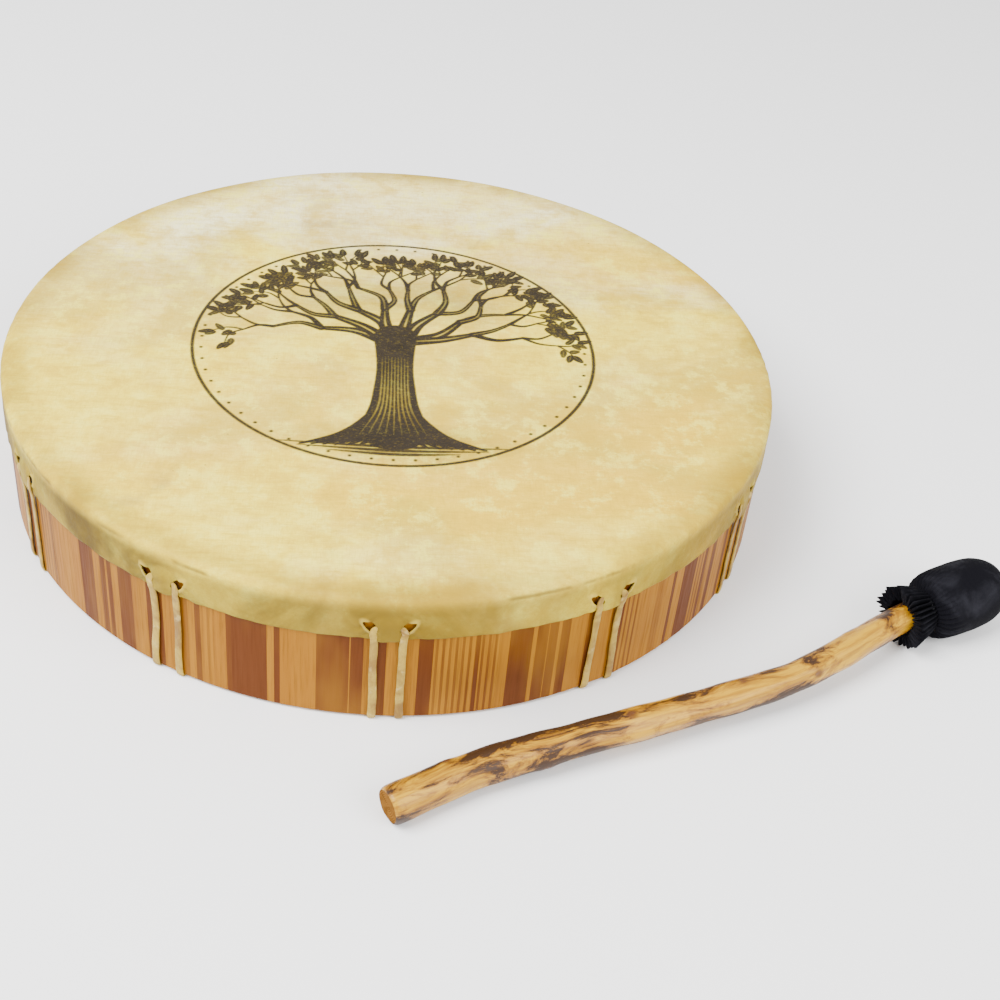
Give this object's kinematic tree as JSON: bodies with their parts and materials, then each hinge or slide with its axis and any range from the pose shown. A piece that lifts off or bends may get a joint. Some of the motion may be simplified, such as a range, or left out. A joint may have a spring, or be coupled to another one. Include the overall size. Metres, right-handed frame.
{
  "type": "frame drum",
  "caption": "Hand-held frame drum lying head up: rawhide head laced over a bent wooden hoop, with a branch beater beside it.",
  "frame": {"origin": "on the table under the middle of the hand cross, where the drum's axis meets the surface it lies on", "axes": "+Z along the drum's axis and out of its head; -Y towards the drum's front, where the beater lies"},
  "size_m": [0.5132, 0.4667, 0.0733],
  "materials": {
    "striped_veneer": "satin oiled veneer with darker stripes across the hoop",
    "hoop_wood": "satin",
    "rawhide_head": "translucent dried rawhide with an ink drawing",
    "rawhide_lace": "dried rawhide lace",
    "grip_lacing": "dried rawhide lace, wound",
    "branch_wood": "lacquered peeled branch",
    "felt": "wool felt",
    "wadding": "loose wadding",
    "cover_cloth": "black woven cloth",
    "tie_cord": "waxed black cord"
  },
  "bodies": {
    "drum": {"hoop_outer_ply": "striped_veneer", "hoop_core_ply": "hoop_wood", "hoop_inner_ply": "striped_veneer", "drumhead": "rawhide_head", "lacing_loop_side_a": "rawhide_lace", "lacing_loop_side_b": "rawhide_lace", "lacing_loop_side_c": "rawhide_lace", "lacing_loop_front_a": "rawhide_lace", "lacing_loop_front_b": "rawhide_lace", "lacing_loop_front_c": "rawhide_lace", "arm_wrap_right": "grip_lacing", "arm_wrap_back": "grip_lacing", "arm_wrap_left": "grip_lacing", "arm_wrap_front": "grip_lacing", "middle_lashing": "grip_lacing"},
    "beater": {"beater_stick": "branch_wood", "beater_felt_roll": "felt", "beater_wadding": "wadding", "beater_cover": "cover_cloth", "beater_neck_tie": "tie_cord"}
  },
  "joints": [
    {"name": "beater_lift", "type": "slide", "parent": "drum", "child": "beater", "axis": [0, 0, 1], "range_m": [0, 0.3]}
  ]
}
